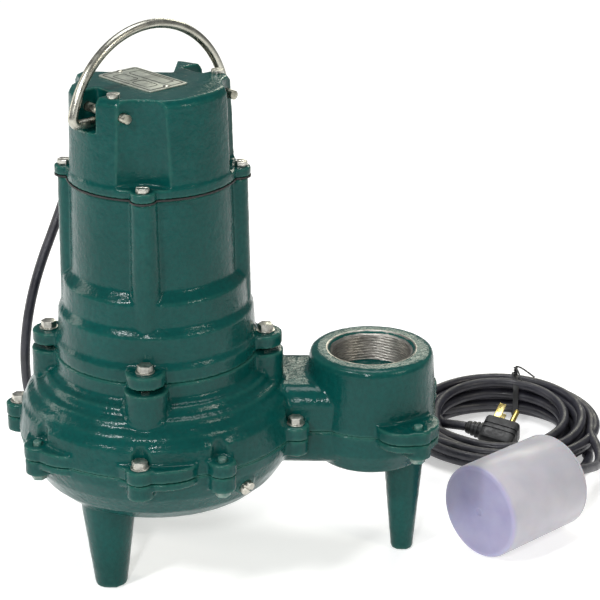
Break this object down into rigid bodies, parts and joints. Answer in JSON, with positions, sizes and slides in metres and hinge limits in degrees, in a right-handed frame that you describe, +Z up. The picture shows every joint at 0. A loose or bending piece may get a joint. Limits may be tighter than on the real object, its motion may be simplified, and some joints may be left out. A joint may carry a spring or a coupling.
{
  "type": "submersible sump pump",
  "caption": "Submersible sump pump in green cast iron with a bail handle, vertical threaded outlet, mains cord and piggyback float switch.",
  "frame": {"origin": "floor level at the centre of the pump's own box, cords and float left out", "axes": "+Z up along the motor shaft, +X from the motor towards the outlet, -Y the front with the nameplate's near edge"},
  "size_m": [0.4693, 0.4619, 0.4134],
  "materials": {
    "paint": "glossy thick teal-green enamel over cast iron",
    "painted_bolt": "painted over steel",
    "zinc": "bright zinc",
    "drain": "zinc, part painted",
    "gasket": "matt black",
    "stainless": "polished",
    "brass_pin": "dull",
    "plate": "satin, blank",
    "bearing_steel": "ground",
    "lamination": "laminated",
    "winding": "varnished copper",
    "ceramic": "ceramic",
    "carbon": "carbon",
    "impeller_iron": "cast",
    "can": "drawn can",
    "gland_plastic": "moulded nylon",
    "cord_rubber": "satin rubber jacket",
    "plug_plastic": "moulded",
    "brass": "bright",
    "float_plastic": "milky lavender-grey, slightly translucent",
    "switch_plastic": "moulded",
    "ball_steel": "polished"
  },
  "bodies": {
    "root": {"pump_case_upper": "paint", "pump_case_lower": "paint", "motor_housing": "paint", "motor_cap": "paint", "case_stud_bolts": "painted_bolt", "case_bolts": "zinc", "housing_bolts": "zinc", "cap_screws": "zinc", "pin_lock_screws": "zinc", "drain_plug": "drain", "case_gasket": "gasket", "cap_gasket": "gasket", "housing_oring": "gasket", "bearing_retaining_ring": "stainless", "nameplate_rivets": "stainless", "handle_pin_left": "brass_pin", "handle_pin_right": "brass_pin", "nameplate": "plate", "lower_bearing_outer_ring": "bearing_steel", "upper_bearing_outer_ring": "bearing_steel", "stator_core": "lamination", "stator_winding": "winding", "seal_seat": "ceramic", "run_capacitor": "can", "overload_protector": "can", "cord_gland": "gland_plastic", "cord_strain_relief": "cord_rubber", "power_cord": "cord_rubber", "power_cord_coil": "cord_rubber", "float_cord": "cord_rubber", "float_cord_coil": "cord_rubber", "float_cord_grip": "cord_rubber", "power_plug": "plug_plastic", "piggyback_plug": "plug_plastic", "coil_tie": "plug_plastic", "piggyback_blades": "brass", "piggyback_earth_pin": "brass", "power_plug_blades": "brass", "power_plug_earth_pin": "brass", "float_shell": "float_plastic", "float_end_cap": "float_plastic", "float_switch_tube": "switch_plastic", "float_microswitch": "switch_plastic"},
    "rotor": {"motor_shaft": "stainless", "rotor_core": "lamination", "lower_bearing_inner_ring": "bearing_steel", "upper_bearing_inner_ring": "bearing_steel", "seal_head": "carbon", "seal_bellows": "gasket", "impeller": "impeller_iron", "impeller_nut": "stainless"},
    "lower_cage": {"lower_bearing_cage": "bearing_steel"},
    "upper_cage": {"upper_bearing_cage": "bearing_steel"},
    "handle": {"handle_bail": "stainless"},
    "float_weight": {"float_ball": "ball_steel"}
  },
  "joints": [
    {"name": "rotor_spin", "type": "hinge", "parent": "root", "child": "rotor", "pos_m": [-0.04425, 0, 0.2], "axis": [0, 0, 1], "continuous": true},
    {"name": "lower_cage_spin", "type": "hinge", "parent": "root", "child": "lower_cage", "pos_m": [-0.04425, 0, 0.165], "axis": [0, 0, 1], "continuous": true},
    {"name": "upper_cage_spin", "type": "hinge", "parent": "root", "child": "upper_cage", "pos_m": [-0.04425, 0, 0.324], "axis": [0, 0, 1], "continuous": true},
    {"name": "handle_rock", "type": "hinge", "parent": "root", "child": "handle", "pos_m": [-0.04425, 0, 0.351], "axis": [0.7071, 0.7071, 0], "range_deg": [-14, 14]},
    {"name": "float_ball_roll", "type": "slide", "parent": "root", "child": "float_weight", "axis": [0.7193, 0.6947, 0], "range_m": [0, 0.0175]}
  ],
  "couplings": [
    {"joint": "lower_cage_spin", "follows": "rotor_spin", "ratio": 0.4056},
    {"joint": "upper_cage_spin", "follows": "rotor_spin", "ratio": 0.4071}
  ]
}
